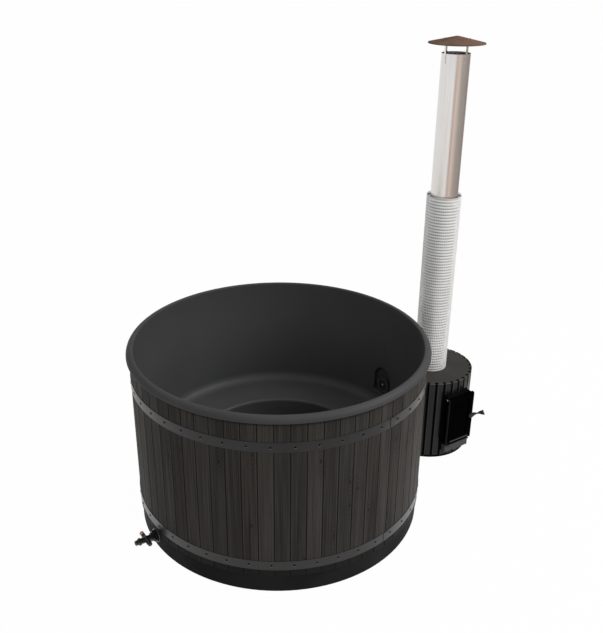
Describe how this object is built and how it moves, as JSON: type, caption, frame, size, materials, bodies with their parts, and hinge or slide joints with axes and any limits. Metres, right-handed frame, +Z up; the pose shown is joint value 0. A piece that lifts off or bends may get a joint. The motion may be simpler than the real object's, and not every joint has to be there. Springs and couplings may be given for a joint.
{
  "type": "wood-fired hot tub",
  "caption": "Round staved wooden hot tub with a moulded liner and bench, steel bands, a drain valve, and an outside wood-fired stove under a guarded flue with a rain cap.",
  "frame": {"origin": "on the floor at the tub's vertical axis", "axes": "+X from the tub's axis to the stove's axis, +Z up; the fire door faces about -Y and the drain points to -X"},
  "size_m": [2.2079, 1.5418, 2.387],
  "materials": {
    "liner_plastic": "satin, finely textured",
    "foam": "matt",
    "skirt_plastic": "satin",
    "stained_wood": "dark translucent stain",
    "band_steel": "satin powder coat",
    "dark_screws": "satin",
    "black_plastic": "satin",
    "stainless": "brushed",
    "grey_plastic": "satin",
    "white_plastic": "satin",
    "orange_plastic": "satin",
    "black_rubber": "matt",
    "stove_black": "heat-proof matt paint",
    "stove_plate": "heat-proof satin paint",
    "cast_iron": "rough",
    "dark_glass": "clear, dark",
    "dark_steel": "satin",
    "rope_seal": "woven glass rope",
    "flue_steel": "polished, tinted by heat",
    "guard_steel": "satin",
    "cap_metal": "satin brown"
  },
  "bodies": {
    "tub_and_stove": {"liner": "liner_plastic", "insulation": "foam", "base_skirt": "skirt_plastic", "staves": "stained_wood", "upper_band": "band_steel", "lower_band": "band_steel", "band_screws": "dark_screws", "inlet_cover": "black_plastic", "cover_screw": "stainless", "hot_fitting": "stainless", "hot_washer": "black_rubber", "hot_nut": "stainless", "return_line": "stainless", "return_nut": "stainless", "floor_grilles": "black_plastic", "drain_line": "grey_plastic", "drain_flange": "grey_plastic", "drain_nut": "black_plastic", "valve_body": "black_plastic", "valve_end_cap": "white_plastic", "valve_end_ring": "orange_plastic", "outlet_tail": "black_plastic", "water_hoses": "black_rubber", "hose_clamps": "stainless", "stove_base": "stove_black", "stove_panels": "stove_black", "stove_top": "stove_plate", "stove_tank": "stove_black", "fire_grate": "cast_iron", "hinge_rod": "stainless", "strike_plate": "stove_black", "flue_collar": "stove_plate", "flue_lower": "flue_steel", "flue_upper": "flue_steel", "heat_guard": "guard_steel", "guard_spacers": "stainless", "rain_cap": "cap_metal", "cap_legs": "flue_steel", "cap_rivets": "cap_metal"},
    "door": {"door_frame": "stove_black", "door_glass": "dark_glass", "glass_retainer": "dark_steel", "door_seal": "rope_seal", "door_trim": "stove_black"},
    "latch": {"latch_spindle": "dark_steel", "door_handle": "dark_steel"},
    "drawer": {"ash_drawer": "stove_black"},
    "valve": {"valve_ball": "stainless", "valve_knob": "black_plastic"}
  },
  "joints": [
    {"name": "door_hinge", "type": "hinge", "parent": "tub_and_stove", "child": "door", "pos_m": [0.98139, -0.27332, 0.267], "axis": [0, 0, -1], "range_deg": [0, 120]},
    {"name": "latch_turn", "type": "hinge", "parent": "door", "child": "latch", "pos_m": [1.15568, -0.29692, 0.27005], "axis": [-0.0349, -0.9994, 0], "range_deg": [0, 45]},
    {"name": "drawer_slide", "type": "slide", "parent": "tub_and_stove", "child": "drawer", "axis": [-0.0349, -0.9994, 0], "range_m": [0, 0.22]},
    {"name": "valve_turn", "type": "hinge", "parent": "tub_and_stove", "child": "valve", "pos_m": [-0.808, 0, 0.068], "axis": [0, 1, 0], "range_deg": [0, 90]}
  ]
}
